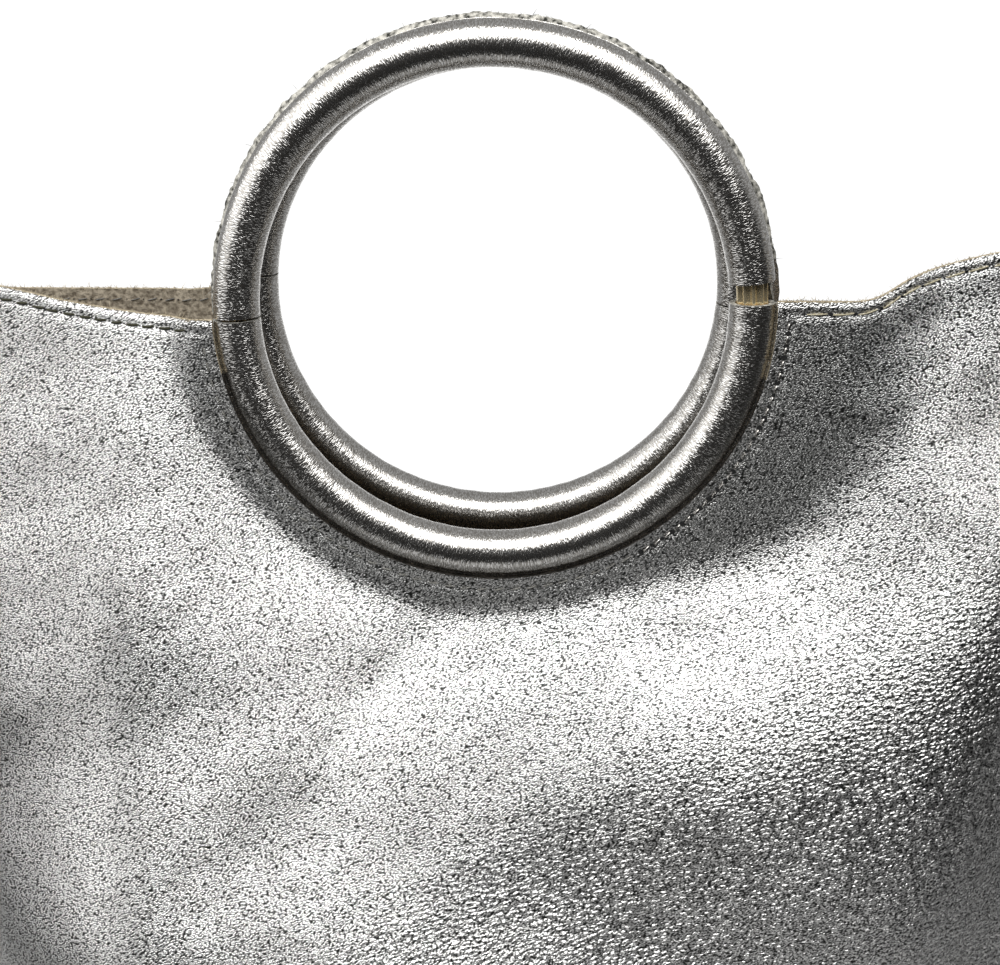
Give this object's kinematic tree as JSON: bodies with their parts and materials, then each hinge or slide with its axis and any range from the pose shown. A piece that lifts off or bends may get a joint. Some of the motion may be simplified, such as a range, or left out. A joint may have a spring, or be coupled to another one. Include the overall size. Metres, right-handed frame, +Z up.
{
  "type": "leather handbag",
  "caption": "Soft open-topped leather handbag standing on its base, with scooped panels sewn to ring handles wrapped in leather sleeves.",
  "frame": {"origin": "middle of the flat base, on the surface that the bag stands on", "axes": "+X along the bag to the right as seen from the front, +Y from the front panel to the back panel, +Z up"},
  "size_m": [0.3193, 0.1417, 0.3213],
  "materials": {
    "silver_leather": "silver foil over a fine pebbled grain, raw cut edges",
    "gold_metal": "polished gold-coloured plating"
  },
  "bodies": {
    "root": {"front_panel": "silver_leather", "back_panel": "silver_leather", "front_ring_core": "gold_metal", "back_ring_core": "gold_metal", "front_upper_sleeve": "silver_leather", "back_upper_sleeve": "silver_leather", "front_lower_sleeve": "silver_leather", "back_lower_sleeve": "silver_leather"}
  },
  "joints": []
}
